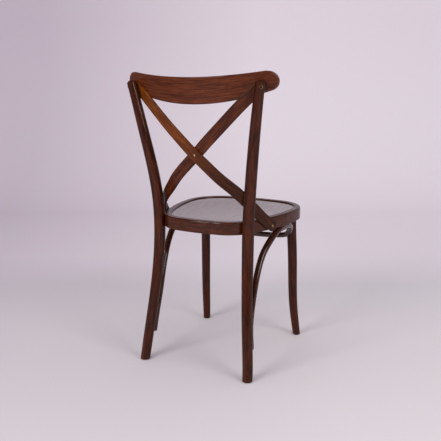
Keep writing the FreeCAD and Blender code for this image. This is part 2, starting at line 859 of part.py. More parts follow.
def hoop_diameter(across):
    """Thicker in the arms, thinner in the bar at the front."""
    bar = hoop_line["corner end"].x
    arm = hoop_line["corner"].x
    share = min(1, max(0, (abs(across) - bar) / (arm - bar)))
    return between(size.hoop_bar_diameter, size.hoop_arm_diameter, share)


def make_hoop_wood():
    left = list(hoop_line.values())
    right = [mirrored(point, -1) for point in reversed(left[:-1])]
    points = left + right
    path = Part.BSplineCurve()
    path.interpolate(points)
    sections = []
    axis = None
    for point in points:
        tangent = path.tangent(path.parameter(point))[0]
        start = UP if axis is None else axis
        axis = (start - tangent * start.dot(tangent)).normalize()
        circle = Part.Circle(Vec(0, 0, 0), UP, hoop_diameter(point.x) / 2)
        wire = Part.Wire([circle.toShape()])
        wire.Placement = FreeCAD.Placement(point, FreeCAD.Rotation(axis, tangent.cross(axis), tangent, "ZXY"))
        sections.append(wire)
    bar = feature("hoop_bar", Part.makeLoft(sections, True, False))
    rounded = doc.addObject("Part::Fillet", "hoop_rounded")
    rounded.Base = bar
    soft = size.hoop_end_round
    longest = math.pi * size.hoop_arm_diameter
    rounded.Edges = [(index, soft, soft) for index, edge in enumerate(bar.Shape.Edges, start=1)
                     if abs(edge.Length - longest) < soft and len(edge.Vertexes) == 1]
    doc.recompute()
    return rounded


# Wooden blanks, before any hole is cut.

ring_body = make_ring_body()
rear_blanks = {}
front_blanks = {}
for side_name, side in SIDES.items():
    rear_blanks[side_name] = make_leg_body(f"rear_{side_name}", rear_leg_stations(), side)
    front_blanks[side_name] = make_leg_body(f"front_{side_name}", front_leg_stations(), side)
hoop_line = hoop_route()
hoop_wood = make_hoop_wood()
rail_wood = make_rail()
strip_sides = {"outer": 1, "inner": -1}
strip_blanks = {}
strip_frames = {}
for kind, side in strip_sides.items():
    strip_blanks[kind], strip_frames[kind] = make_strip_wood(f"strip_{kind}_wood", kind, side)
doc.recompute()

ring_cuts = []
rail_cuts = []
hoop_holes = []
hoop_sinks = []
rear_cuts = {side_name: [] for side_name in SIDES}
front_cuts = {side_name: [] for side_name in SIDES}
strip_cuts = {kind: [] for kind in strip_sides}

ring_bottom = ring_bottom_height()
ledge_top = size.seat_top - size.panel_recess - size.panel_thickness

# Rail bolts: each one clamps the rail and a strip to a rear leg, with a sleeve nut from behind.
for kind, side in strip_sides.items():
    side_name = "left" if side > 0 else "right"
    normal = back_normal(side * bolt_across())
    on_back = back_point(side * bolt_across(), bolt_height())
    head_seat = on_back - normal * (size.rail_thickness + size.hole_clearance)
    leg_line = Part.makeLine(on_back, on_back + normal * size.rail_thickness * PAST)
    met = [vertex.Point for vertex in rear_blanks[side_name].Shape.common(leg_line).Vertexes]
    behind_leg = max(met, key=lambda point: (point - on_back).Length)
    nut_face = behind_leg - normal * size.rail_nut_sink
    nut_seat = nut_face - normal * size.rail_nut_head_height
    bolt_length = (nut_seat - head_seat).Length - size.rail_nut_socket
    name = f"rail_bolt_{side_name}"
    head = dome_head(name + "_head", cell("rail_bolt_head_diameter"), cell("rail_bolt_head_height"),
                     along(head_seat, normal * -1))
    shank = cylinder(name + "_shank", cell("rail_bolt_diameter"), str(bolt_length), along(head_seat, normal))
    keep(name, fuse(name, [head, shank]))
    name = f"rail_nut_{side_name}"
    flange = cylinder(name + "_flange", cell("rail_nut_head_diameter"), cell("rail_nut_head_height"),
                      along(nut_face, normal * -1))
    sleeve = cylinder(name + "_sleeve", cell("rail_nut_diameter"), cell("rail_nut_length"),
                      along(nut_face, normal * -1))
    bore = cylinder(name + "_bore", "sizes.rail_nut_diameter - 2 * sizes.rail_nut_wall",
                    f"{PAST} * sizes.rail_nut_length", along(nut_face + normal, normal * -1))
    keep(name, cut(name, fuse(name + "_blank", [flange, sleeve]), [bore]))
    through = hole(f"bolt_hole_{side_name}", cell("rail_bolt_diameter"), str(bolt_length),
                   head_seat - normal, normal)
    sleeve_hole = hole(f"sleeve_hole_{side_name}", cell("rail_nut_diameter"), cell("rail_nut_length"),
                       nut_face, normal * -1)
    sunk = f"{PAST} * sizes.rail_nut_sink"
    flange_hole = hole(f"flange_hole_{side_name}", cell("rail_nut_head_diameter"), sunk,
                       nut_seat, normal)
    rail_cuts.append(through)
    strip_cuts[kind].append(through)
    rear_cuts[side_name] += [through, sleeve_hole, flange_hole]

# Rivet through the crossing of the two strips.
cross_height = between(size.seat_top, bolt_height(), STRIP_ON_BACK[CROSSING_ROW][1])
rivet_axis = back_normal(0)
half_stack = size.strip_thickness / 2 + size.hole_clearance
rest = size.strip_thickness / 2 + size.strip_clearance
leave = {kind: share * size.strip_thickness for kind, share in STRIP_CROSSING.items()}
rear_face = back_point(0, cross_height, rest + leave["outer"] + half_stack)
front_face = back_point(0, cross_height, rest + leave["inner"] - half_stack)
rear_head = dome_head("rivet_rear_head", cell("rivet_head_diameter"), cell("rivet_head_height"),
                      along(rear_face, rivet_axis))
front_head = dome_head("rivet_front_head", cell("rivet_head_diameter"), cell("rivet_head_height"),
                       along(front_face, rivet_axis * -1))
rivet_length = (rear_face - front_face).Length
rivet_shank = cylinder("rivet_shank", cell("rivet_diameter"), str(rivet_length),
                       along(front_face, rivet_axis))
keep("cross_rivet", fuse("cross_rivet", [rear_head, front_head, rivet_shank]))
rivet_hole = hole("rivet_hole", cell("rivet_diameter"), f"{PAST} * sizes.strip_thickness",
                  front_face - rivet_axis * size.strip_thickness, rivet_axis)
for kind in strip_sides:
    strip_cuts[kind].append(rivet_hole)

# Screws from each strip's lower end into the side of the seat ring.
for kind, side in strip_sides.items():
    side_name = "right" if side > 0 else "left"
    point, normal = strip_rows(kind)[SCREW_ROW - len(STRIP_ON_SEAT)]
    inward = mirrored(normal, side) * -1
    seat_point = mirrored(point, side) - inward * (size.strip_thickness / 2 + size.hole_clearance)
    keep(f"strip_screw_{side_name}",
         slotted_screw(f"strip_screw_{side_name}", seat_point, inward, cell("strip_screw_length")))
    cutter = screw_hole(f"strip_screw_hole_{side_name}", seat_point, inward, cell("strip_screw_length"))
    ring_cuts.append(cutter)
    strip_cuts[kind].append(cutter)

bolts = []
washers = []
nuts = []
rear_screws = []
front_screws = []
seat_screws = []
leg_screws = []
hoop_radius = size.hoop_arm_diameter / 2
for side_name, side in SIDES.items():
    # Bolt from each rear leg through the seat ring, with a washer and a nut inside the ring.
    bolt_level = (ring_bottom + ledge_top) / 2
    middle = leg_section(rear_blanks[side_name], bolt_level)[0]
    on_ring = on_seat_outline(middle)
    on_ring.z = bolt_level
    inward = (on_ring - middle).normalize()
    washer_seat = on_ring + inward * (size.ring_band + size.ring_ledge - size.spot_face_depth)
    nut_seat = washer_seat + inward * size.washer_thickness
    bolt_end = nut_seat + inward * (size.nut_height + size.bolt_over_nut)
    bolt_start = on_ring - inward * size.leg_bolt_in_leg
    length = (bolt_end - bolt_start).Length
    bore = cell("leg_bolt_diameter")
    bolts.append(cylinder(f"leg_bolt_{side_name}", bore, str(length), along(bolt_start, inward)))
    washer_disc = cylinder(f"washer_disc_{side_name}", cell("washer_diameter"), cell("washer_thickness"),
                           along(washer_seat, inward))
    washer_bore = hole(f"washer_bore_{side_name}", bore, f"{PAST} * sizes.washer_thickness",
                       washer_seat - inward * size.washer_thickness, inward)
    washers.append(cut(f"leg_washer_{side_name}", washer_disc, [washer_bore]))
    hexagon = doc.addObject("Part::Prism", f"nut_hexagon_{side_name}")
    hexagon.Polygon = 6
    hexagon.setExpression("Circumradius", "sizes.nut_across_flats / sqrt(3)")
    hexagon.setExpression("Height", cell("nut_height"))
    hexagon.Placement = along(nut_seat, inward)
    nut_bore = hole(f"nut_bore_{side_name}", bore, f"{PAST} * sizes.nut_height",
                    nut_seat - inward * size.nut_height, inward)
    nuts.append(cut(f"leg_nut_{side_name}", hexagon, [nut_bore]))
    bolt_hole = hole(f"leg_bolt_hole_{side_name}", bore, str(length), bolt_start, inward)
    spot_face = hole(f"spot_face_{side_name}", cell("washer_diameter"), cell("ring_ledge"),
                     washer_seat, inward)
    ring_cuts += [bolt_hole, spot_face]
    rear_cuts[side_name].append(bolt_hole)

    # Tenon of each front leg in the seat ring, held by a screw from above.
    shoulder = mirrored(front_leg_stations()[-1][0], side)
    tenon_hole = hole(f"tenon_hole_{side_name}", cell("tenon_diameter"), cell("tenon_length"), shoulder, UP)
    head_seat = Vec(shoulder.x, shoulder.y, ledge_top - size.screw_head_height - size.hole_clearance)
    name = f"front_leg_screw_{side_name}"
    leg_screws.append(slotted_screw(name, head_seat, UP * -1, cell("front_leg_screw_length")))
    cutter = screw_hole(name + "_hole", head_seat, UP * -1, cell("front_leg_screw_length"))
    ring_cuts += [tenon_hole, cutter, head_hole(name + "_sink", head_seat, UP * -1)]
    front_cuts[side_name].append(cutter)

    # Screws through the hoop into the rear leg, the front leg and the seat ring.
    sites = [
        ("rear", rear_blanks, rear_cuts, rear_screws, cell("hoop_rear_screw_length")),
        ("front", front_blanks, front_cuts, front_screws, cell("hoop_front_screw_length")),
    ]
    for site, blanks, cuts, screws, screw_length in sites:
        on_hoop = mirrored(hoop_line[site + " screw"], side)
        middle = leg_section(blanks[side_name], on_hoop.z)[0]
        direction = (middle - on_hoop).normalize()
        head_seat = on_hoop - direction * (hoop_diameter(on_hoop.x) / 2 - size.hoop_screw_sink)
        name = f"hoop_{site}_screw_{side_name}"
        screws.append(slotted_screw(name, head_seat, direction, screw_length))
        cutter = screw_hole(name + "_hole", head_seat, direction, screw_length)
        hoop_holes.append(cutter)
        hoop_sinks.append(head_hole(name + "_sink", head_seat, direction))
        cuts[side_name].append(cutter)
    on_hoop = mirrored(hoop_line["seat screw"], side)
    head_seat = on_hoop - UP * (hoop_radius - size.hoop_screw_sink)
    name = f"hoop_seat_screw_{side_name}"
    seat_screws.append(slotted_screw(name, head_seat, UP, cell("hoop_seat_screw_length")))
    cutter = screw_hole(name + "_hole", head_seat, UP, cell("hoop_seat_screw_length"))
    hoop_holes.append(cutter)
    hoop_sinks.append(head_hole(name + "_sink", head_seat, UP))
    ring_cuts.append(cutter)

keep("leg_bolts", compound("leg_bolts", bolts))
keep("leg_washers", compound("leg_washers", washers))
keep("leg_nuts", compound("leg_nuts", nuts))
keep("hoop_rear_screws", compound("hoop_rear_screws", rear_screws))
keep("hoop_front_screws", compound("hoop_front_screws", front_screws))
keep("hoop_seat_screws", compound("hoop_seat_screws", seat_screws))
keep("front_leg_screws", compound("front_leg_screws", leg_screws))

# Finished wooden pieces.
seat_block = seat_prism("seat_block", -size.seat_clearance, ring_bottom, size.ring_height)
flat_bottom = bolt_height() - size.flat_below_bolt
flat_top = size.rail_top_middle + 2 * size.rail_end_radius
strip_back = size.strip_thickness + 2 * size.strip_clearance
strip_flat = back_band("strip_flat", -size.rail_thickness, strip_back, flat_bottom, flat_top,
                       size.rail_end_across + size.rail_end_radius)
for side_name, side in SIDES.items():
    rear_foot = mirrored(rear_leg_stations()[0][0], side)
    front_foot = mirrored(front_leg_stations()[0][0], side)
    cutters = [seat_block, strip_flat, dome_cutter(f"dome_{side_name}", rear_leg_stations(), side)]
    cutters += rear_cuts[side_name]
    cutters.append(glide_hole(f"rear_glide_hole_{side_name}", rear_foot))
    keep(f"rear_leg_{side_name}", cut(f"rear_leg_{side_name}", rear_blanks[side_name], cutters))

    shoulder = mirrored(front_leg_stations()[-1][0], side)
    tenon = cylinder(f"tenon_{side_name}", cell("tenon_diameter"), cell("tenon_length"), along(shoulder, UP))
    wood = fuse(f"front_leg_wood_{side_name}", [front_blanks[side_name], tenon])
    cutters = front_cuts[side_name] + [glide_hole(f"front_glide_hole_{side_name}", front_foot)]
    keep(f"front_leg_{side_name}", cut(f"front_leg_{side_name}", wood, cutters))

    keep(f"glide_rear_{side_name}", make_glide(f"glide_rear_{side_name}", rear_foot))
    keep(f"glide_front_{side_name}", make_glide(f"glide_front_{side_name}", front_foot))

keep("seat_ring", cut("seat_ring", ring_body, ring_cuts))
keep("seat_panel", make_panel())
keep("top_rail", cut("top_rail", rail_wood, rail_cuts))
bored_hoop = cut("bored_hoop", hoop_wood, hoop_holes)
keep("leg_hoop", cut("leg_hoop", bored_hoop, hoop_sinks))
for kind in strip_sides:
    cutters = list(strip_cuts[kind])
    cutters += end_corner_cutters(f"{kind}_top_end", strip_frames[kind][0], -1)
    cutters += end_corner_cutters(f"{kind}_low_end", strip_frames[kind][-1], 1)
    keep(f"cross_strip_{kind}", cut(f"cross_strip_{kind}", strip_blanks[kind], cutters))

doc.recompute()

# Every object must be sound before anything is written.
for obj in doc.Objects:
    if "Invalid" in obj.State or "Error" in obj.State:
        raise RuntimeError(f"{obj.Name} did not recompute")
for label, obj in nodes.items():
    if obj.Shape.isNull() or not obj.Shape.isValid():
        raise RuntimeError(f"{label} has no sound shape")

os.makedirs("parts", exist_ok=True)
for label, obj in nodes.items():
    obj.Shape.exportStep(f"parts/{label}.step")
print(len(nodes), "sub-parts written")
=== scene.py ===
"""Looks of the cross back chair: stained, lacquered beech and small brass fasteners in a pale studio."""

import math

import bmesh
import bpy
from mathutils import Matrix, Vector
from mathutils.kdtree import KDTree


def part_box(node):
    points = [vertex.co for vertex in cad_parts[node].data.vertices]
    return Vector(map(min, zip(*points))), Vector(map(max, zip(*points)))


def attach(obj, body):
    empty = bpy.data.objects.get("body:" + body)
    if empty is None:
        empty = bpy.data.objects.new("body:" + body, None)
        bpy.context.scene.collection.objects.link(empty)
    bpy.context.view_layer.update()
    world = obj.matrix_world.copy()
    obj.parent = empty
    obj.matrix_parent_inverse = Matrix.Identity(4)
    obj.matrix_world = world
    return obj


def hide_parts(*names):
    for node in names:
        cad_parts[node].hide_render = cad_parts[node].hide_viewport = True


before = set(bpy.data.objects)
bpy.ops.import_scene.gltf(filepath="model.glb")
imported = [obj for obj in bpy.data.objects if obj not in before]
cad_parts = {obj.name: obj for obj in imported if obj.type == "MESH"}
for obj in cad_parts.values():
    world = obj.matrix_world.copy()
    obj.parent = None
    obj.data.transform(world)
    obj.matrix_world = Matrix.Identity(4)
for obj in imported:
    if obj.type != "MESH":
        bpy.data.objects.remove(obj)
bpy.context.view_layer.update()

MM = 0.001

# Where the grain runs

# A line is drawn through each bent piece, and its grain follows that line.
SLICES = 24
LINE_STEP = 4 * MM
ACROSS, UPWARDS = 0, 2
# The hoop's line on the left side: shares of the node's box across, from front to back, and upwards.
HOOP_LINE = [
    (0.966, 0.972, 0.00),
    (0.942, 0.930, 0.18),
    (0.925, 0.850, 0.38),
    (0.930, 0.700, 0.64),
    (0.955, 0.540, 0.83),
    (0.985, 0.400, 0.95),
    (0.990, 0.230, 0.97),
    (0.975, 0.090, 0.93),
    (0.925, 0.020, 0.84),
    (0.840, 0.010, 0.80),
    (0.700, 0.020, 0.78),
]


def smooth_line(points, step):
    """Points a small step apart on a smooth curve through the given ones."""
    line = []
    for index in range(len(points) - 1):
        before = points[max(index - 1, 0)]
        start, end = points[index], points[index + 1]
        after = points[min(index + 2, len(points) - 1)]
        count = max(2, round((end - start).length / step))
        for number in range(count):
            t = number / count
            line.append(0.5 * (2 * start + (end - before) * t
                               + (2 * before - 5 * start + 4 * end - after) * t ** 2
                               + (3 * start - before - 3 * end + after) * t ** 3))
    line.append(points[-1])
    return line


def sliced_line(mesh, axis):
    """Middles of the slices that a piece has along one axis, joined in a smooth line."""
    low = min(vertex.co[axis] for vertex in mesh.vertices)
    high = max(vertex.co[axis] for vertex in mesh.vertices)
    slices = [[] for _ in range(SLICES)]
    for vertex in mesh.vertices:
        share = (vertex.co[axis] - low) / (high - low)
        slices[min(int(share * SLICES), SLICES - 1)].append(vertex.co)
    middles = []
    for found in slices:
        if found:
            lows = Vector([min(co[i] for co in found) for i in range(3)])
            highs = Vector([max(co[i] for co in found) for i in range(3)])
            middles.append((lows + highs) / 2)
    return smooth_line(middles, LINE_STEP)


def hoop_line():
    """The hoop's line from the left rear foot round the front to the right rear foot."""
    low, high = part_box("leg_hoop")
    span = high - low
    left = [low + Vector([span[i] * share[i] for i in range(3)]) for share in HOOP_LINE]
    right = [Vector((-point.x, point.y, point.z)) for point in reversed(left)]
    return smooth_line(left + right, LINE_STEP)


def lay_grain(mesh, line):
    """Gives each vertex its distance along the line and its two offsets from it, as the grain attribute."""
    tree = KDTree(len(line))
    for index, point in enumerate(line):
        tree.insert(point, index)
    tree.balance()
    lengths = [0.0]
    for before, after in zip(line, line[1:]):
        lengths.append(lengths[-1] + (after - before).length)
    last = len(line) - 1
    tangents = [(line[min(index + 1, last)] - line[max(index - 1, 0)]).normalized()
                for index in range(len(line))]
    sideways = [tangents[0].orthogonal().normalized()]
    for tangent in tangents[1:]:
        level = sideways[-1] - tangent * sideways[-1].dot(tangent)
        sideways.append(level.normalized())
    grain = mesh.attributes.new("grain", "FLOAT_VECTOR", "POINT")
    for vertex, row in zip(mesh.vertices, grain.data):
        index = tree.find(vertex.co)[1]
        offset = vertex.co - line[index]
        tangent, side = tangents[index], sideways[index]
        row.vector = (lengths[index] + offset.dot(tangent), offset.dot(side), offset.dot(tangent.cross(side)))


def lay_rail_grain(mesh):
    """The rail's grain follows its bow from side to side."""
    lay_grain(mesh, sliced_line(mesh, ACROSS))


def lay_upright_grain(mesh):
    """The grain of a leg or a strip follows its bends from the lower end to the upper one."""
    lay_grain(mesh, sliced_line(mesh, UPWARDS))


def lay_hoop_grain(mesh):
    """The hoop's grain goes all the way round with it."""
    lay_grain(mesh, hoop_line())


def lay_ring_grain(mesh):
    """The ring is one bent strip: its grain goes round the seat."""
    low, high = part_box("seat_ring")
    middle = (low + high) / 2
    radius = (high.x - low.x) / 2
    grain = mesh.attributes.new("grain", "FLOAT_VECTOR", "POINT")
    for vertex, row in zip(mesh.vertices, grain.data):
        out = vertex.co - middle
        angle = math.atan2(out.x, out.y)
        row.vector = (angle * radius, math.hypot(out.x, out.y), vertex.co.z)


def lay_panel_grain(mesh):
    """The panel's veneer runs from front to back."""
    grain = mesh.attributes.new("grain", "FLOAT_VECTOR", "POINT")
    for vertex, row in zip(mesh.vertices, grain.data):
        row.vector = (vertex.co.y, vertex.co.x, vertex.co.z)


# Finished copies of the solids

MERGE_WITHIN = 0.002 * MM
SHARP_ANGLE = math.radians(32)


def finished(node, finish, lay=None):
    """A smooth copy of one solid with its finish on."""
    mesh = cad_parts[node].data.copy()
    mesh.name = node + "_surface"
    work = bmesh.new()
    work.from_mesh(mesh)
    bmesh.ops.remove_doubles(work, verts=work.verts, dist=MERGE_WITHIN)
    bmesh.ops.dissolve_degenerate(work, edges=work.edges, dist=MERGE_WITHIN)
    for face in work.faces:
        face.smooth = True
    for edge in work.edges:
        edge.smooth = len(edge.link_faces) != 2 or edge.calc_face_angle(0) < SHARP_ANGLE
    work.to_mesh(mesh)
    work.free()
    if lay:
        lay(mesh)
    mesh.materials.clear()
    mesh.materials.append(finish)
    piece = bpy.data.objects.new(node + "_finished", mesh)
    bpy.context.scene.collection.objects.link(piece)
    # Broad faces keep their own direction, and the narrow rounds between them turn smoothly.
    shading = piece.modifiers.new("even_shading", "WEIGHTED_NORMAL")
    shading.keep_sharp = True
    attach(piece, "root")
    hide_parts(node)


# Colours and nodes

# A Mix node takes its two colours at inputs 6 and 7 and gives the mixed one at output 2.
COLOUR_A, COLOUR_B, MIXED = 6, 7, 2


def linear(code):
    """Linear colour of an sRGB hex code."""
    parts = [int(code[i:i + 2], 16) / 255 for i in (1, 3, 5)]
    return [c / 12.92 if c <= 0.04045 else ((c + 0.055) / 1.055) ** 2.4 for c in parts] + [1.0]


def add_node(tree, kind, values=None, links=None, **settings):
    """Adds a node, sets its properties and its sockets' values, and links other nodes' sockets to it."""
    node = tree.nodes.new(kind)
    for name, value in settings.items():
        setattr(node, name, value)
    for socket, value in (values or {}).items():
        node.inputs[socket].default_value = value
    for socket, source in (links or {}).items():
        tree.links.new(source, node.inputs[socket])
    return node


def new_material(name):
    """An empty material and its node tree."""
    material = bpy.data.materials.new(name)
    material.use_nodes = True
    material.node_tree.nodes.clear()
    return material, material.node_tree


def set_ramp(ramp, stops):
    """Colour stops of a ramp: position and hex code."""
    elements = ramp.color_ramp.elements
    while len(elements) < len(stops):
        elements.new(1.0)
    for element, (position, code) in zip(elements, stops):
        element.position = position
        element.color = linear(code)


def give_output(tree, shader):
    """Ends a material with the shader's surface."""
    add_node(tree, "ShaderNodeOutputMaterial", links={"Surface": shader.outputs["BSDF"]})


# Stained and lacquered beech

# Marks in the wood: their length and width in millimetres, and the detail of their noise.
# Growth rings show as narrow streaks, and stain takes unevenly over wide patches.
STREAKS = (45, 2.5, 4.0)
PATCHES = (120, 12, 2.0)
# Ray flecks are about 1 mm wide in beech, drawn wider so that they show.
FLECKS = (11, 2.2, 3.0)
MARKS_ROUGHNESS = 0.55
# How much the patches count beside the streaks, and where on their noise the three tones lie.
PATCH_SHARE = 0.3
TONE_STOPS = (0.36, 0.5, 0.64)
# The flecks start to darken the wood at the first value of their noise, and do so fully at the second.
FLECK_START, FLECK_FULL = 0.54, 0.68
# The lacquer is a little duller over the dark streaks and glossier over the light ones.
STREAK_DARK, STREAK_LIGHT = 0.3, 0.7
DULLER, GLOSSIER = 0.05, 0.04
PORE_DEPTH = 0.12 * MM
# A strip's dark lower stretch ends and its light upper stretch starts here, from its lower end in metres:
# partly stain, partly painted light and shade.
LOW_END = 0.2
HIGH_END = 0.46


def stained_beech(name, tones, gloss, coat, flecked=0.65, low_end=None):
    """Steam-bent beech, stained walnut brown and sprayed with lacquer.

    The eye sees fine soft streaks along the bend, short dark ray flecks,
    and a clear skin of lacquer with soft-edged highlights.
    A low end's tone darkens the piece towards its foot, partly as the stain does and partly as painted shade.
    """
    dark = tones[0]
    material, tree = new_material(name)
    grain = add_node(tree, "ShaderNodeAttribute", attribute_name="grain", attribute_type="GEOMETRY")

    def along_grain(long, wide, detail):
        """Noise drawn out along the grain: its length and its width in millimetres."""
        scale = (1 / (long * MM), 1 / (wide * MM), 1 / (wide * MM))
        stretched = add_node(tree, "ShaderNodeMapping", values={"Scale": scale},
                             links={"Vector": grain.outputs["Vector"]})
        return add_node(tree, "ShaderNodeTexNoise",
                        values={"Scale": 1.0, "Detail": detail, "Roughness": MARKS_ROUGHNESS},
                        links={"Vector": stretched.outputs["Vector"]})

    streaks = along_grain(*STREAKS)
    patches = along_grain(*PATCHES)
    flecks = along_grain(*FLECKS)
    share = add_node(tree, "ShaderNodeMath", operation="MULTIPLY", values={1: PATCH_SHARE},
                     links={0: patches.outputs["Fac"]})
    tone = add_node(tree, "ShaderNodeMath", operation="MULTIPLY_ADD", values={1: 1 - PATCH_SHARE},
                    links={0: streaks.outputs["Fac"], 2: share.outputs[0]})
    colour = add_node(tree, "ShaderNodeValToRGB", links={"Fac": tone.outputs[0]})
    set_ramp(colour, list(zip(TONE_STOPS, tones)))
    mark = add_node(tree, "ShaderNodeMapRange",
                    values={"From Min": FLECK_START, "From Max": FLECK_FULL,
                            "To Min": 0.0, "To Max": flecked},
                    links={"Value": flecks.outputs["Fac"]})
    wood = add_node(tree, "ShaderNodeMix", values={COLOUR_B: linear(dark)}, data_type="RGBA",
                    links={"Factor": mark.outputs["Result"], COLOUR_A: colour.outputs["Color"]})
    # Partly painted shade: the piece darkens towards its lower end, against the painted light of its upper
    # stretch.
    if low_end:
        along = add_node(tree, "ShaderNodeSeparateXYZ", links={"Vector": grain.outputs["Vector"]})
        foot = add_node(tree, "ShaderNodeMapRange", interpolation_type="SMOOTHSTEP",
                        values={"From Min": LOW_END, "From Max": HIGH_END, "To Min": 1.0, "To Max": 0.0},
                        links={"Value": along.outputs["X"]})
        wood = add_node(tree, "ShaderNodeMix", values={COLOUR_B: linear(low_end)}, data_type="RGBA",
                        blend_type="MULTIPLY",
                        links={"Factor": foot.outputs["Result"], COLOUR_A: wood.outputs[MIXED]})
    rough = add_node(tree, "ShaderNodeMapRange",
                     values={"From Min": STREAK_DARK, "From Max": STREAK_LIGHT,
                             "To Min": gloss + DULLER, "To Max": gloss - GLOSSIER},
                     links={"Value": streaks.outputs["Fac"]})
    pores = add_node(tree, "ShaderNodeBump", values={"Strength": 0.1, "Distance": flecked * PORE_DEPTH},
                     links={"Height": flecks.outputs["Fac"]})
    shader = add_node(tree, "ShaderNodeBsdfPrincipled",
                      values={"IOR": 1.45, "Specular IOR Level": 0.05, "Coat Weight": coat,
                              "Coat Roughness": 0.09, "Coat IOR": 1.5},
                      links={"Base Color": wood.outputs[MIXED], "Roughness": rough.outputs["Result"],
                             "Normal": pores.outputs["Normal"]})
    give_output(tree, shader)
    return material


# Turning marks are about 0.8 mm apart, and shade is painted dark where a surface is closed in within 5 mm.
TURNING_MARK = 0.8 * MM
SMOOTHER, ROUGHER = 0.06, 0.1
RECESS_REACH = 5 * MM
RECESS_SAMPLES = 8
FULL_SHADE_BELOW, NO_SHADE_ABOVE = 0.35, 0.8


def polished_metal(name, tones, roughness):
    """Turned metal: small turning marks break up its highlight, and its recesses are painted dark as shade.
    """
    bright, dull, recess_shade = tones
    material, tree = new_material(name)
    place = add_node(tree, "ShaderNodeTexCoord")
    marks = add_node(tree, "ShaderNodeTexNoise", values={"Scale": 1 / TURNING_MARK, "Detail": 2.0},
                     links={"Vector": place.outputs["Object"]})
    rough = add_node(tree, "ShaderNodeMapRange",
                     values={"To Min": roughness - SMOOTHER, "To Max": roughness + ROUGHER},
                     links={"Value": marks.outputs["Fac"]})
    tint = add_node(tree, "ShaderNodeMix", values={COLOUR_A: linear(bright), COLOUR_B: linear(dull)},
                    data_type="RGBA", links={"Factor": marks.outputs["Fac"]})
    # Painted shade: ambient occlusion darkens the metal towards its third tone in hollows such as a nut's
    # bore.
    openness = add_node(tree, "ShaderNodeAmbientOcclusion", values={"Distance": RECESS_REACH},
                        samples=RECESS_SAMPLES)
    recess = add_node(tree, "ShaderNodeMapRange",
                      values={"From Min": FULL_SHADE_BELOW, "From Max": NO_SHADE_ABOVE},
                      links={"Value": openness.outputs["AO"]})
    shaded_tint = add_node(tree, "ShaderNodeMix", values={COLOUR_A: linear(recess_shade)}, data_type="RGBA",
                    links={"Factor": recess.outputs["Result"], COLOUR_B: tint.outputs[MIXED]})
    shader = add_node(tree, "ShaderNodeBsdfPrincipled", values={"Metallic": 1.0},
                      links={"Base Color": shaded_tint.outputs[MIXED], "Roughness": rough.outputs["Result"]})
    give_output(tree, shader)
    return material


SCUFF_SIZE = 2 * MM
SCUFF_STOPS = (0.35, 0.65)


def moulded_nylon(name, tones):
    """Injection-moulded nylon glide: dull, with small scuffs of a lighter tone."""
    material, tree = new_material(name)
    place = add_node(tree, "ShaderNodeTexCoord")
    scuffs = add_node(tree, "ShaderNodeTexNoise", values={"Scale": 1 / SCUFF_SIZE, "Detail": 4.0},
                      links={"Vector": place.outputs["Object"]})
    colour = add_node(tree, "ShaderNodeValToRGB", links={"Fac": scuffs.outputs["Fac"]})
    set_ramp(colour, list(zip(SCUFF_STOPS, tones)))
    shader = add_node(tree, "ShaderNodeBsdfPrincipled", values={"IOR": 1.53, "Roughness": 0.55},
                      links={"Base Color": colour.outputs["Color"]})
    give_output(tree, shader)
    return material


# All parts are one stained beech: their tones differ partly as the stain takes on each piece and partly as
# painted light and shade, lighter on parts facing the lamps and darker on parts in shade.
leg_beech = stained_beech("stained_beech_legs", ("#160702", "#361305", "#4b1e0c"), 0.42, 0.32)
rail_beech = stained_beech("stained_beech_rail", ("#31140a", "#4c210d", "#5f2f18"), 0.42, 0.3)
outer_strip_beech = stained_beech("stained_beech_outer_strip", ("#2d1204", "#5e2c0b", "#774015"), 0.42, 0.32,
                                  low_end="#948c8b")
inner_strip_beech = stained_beech("stained_beech_inner_strip", ("#1d0b03", "#40190a", "#57290f"), 0.42, 0.32)
hoop_beech = stained_beech("stained_beech_hoop", ("#170702", "#321305", "#481c0b"), 0.38, 0.85)
ring_beech = stained_beech("stained_beech_ring", ("#1c0903", "#3a1706", "#4d220d"), 0.4, 0.45)
panel_beech = stained_beech("stained_beech_panel", ("#301309", "#3e1c0e", "#472212"), 0.28, 1.0, flecked=0.0)
# The third tone of each metal is the painted shade of its recesses.
brass = polished_metal("turned_brass", ("#b09468", "#957748", "#1c130b"), 0.36)
zinc_steel = polished_metal("zinc_plated_steel", ("#b9bcc0", "#a4a7ab", "#2a2b2d"), 0.35)
nylon = moulded_nylon("black_nylon_glides", ("#171311", "#26201d"))

SLOT_FINISH = {
    "brass_fastener": brass,
    "plated_steel": zinc_steel,
    "glide_plastic": nylon,
}

finished("seat_ring", ring_beech, lay=lay_ring_grain)
finished("seat_panel", panel_beech, lay=lay_panel_grain)
finished("top_rail", rail_beech, lay=lay_rail_grain)
finished("leg_hoop", hoop_beech, lay=lay_hoop_grain)
for strip, finish in (("cross_strip_outer", outer_strip_beech), ("cross_strip_inner", inner_strip_beech)):
    finished(strip, finish, lay=lay_upright_grain)
for leg in ("rear_leg_left", "rear_leg_right", "front_leg_left", "front_leg_right"):
    finished(leg, leg_beech, lay=lay_upright_grain)

# The rest are small parts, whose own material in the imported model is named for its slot.
for node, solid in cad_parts.items():
    slot_name = solid.data.materials[0].name
    if slot_name in SLOT_FINISH:
        finished(node, SLOT_FINISH[slot_name])

# Studio

# The camera as solved from the photograph: places in metres, focal length in the picture's pixels.
IMAGE_SIDE = 441
SENSOR = 36.0
CAMERA_PLACE = Vector((-0.8928, 1.7935, 0.8486))
CAMERA_YAW = math.radians(27.0294)
CAMERA_PITCH = math.radians(-12.0158)
FOCAL_PIXELS = 639.38
CLIP_NEAR, CLIP_FAR = 0.05, 50
AHEAD = Vector((math.sin(CAMERA_YAW), -math.cos(CAMERA_YAW), 0))
RIGHT = Vector((-math.cos(CAMERA_YAW), -math.sin(CAMERA_YAW), 0))

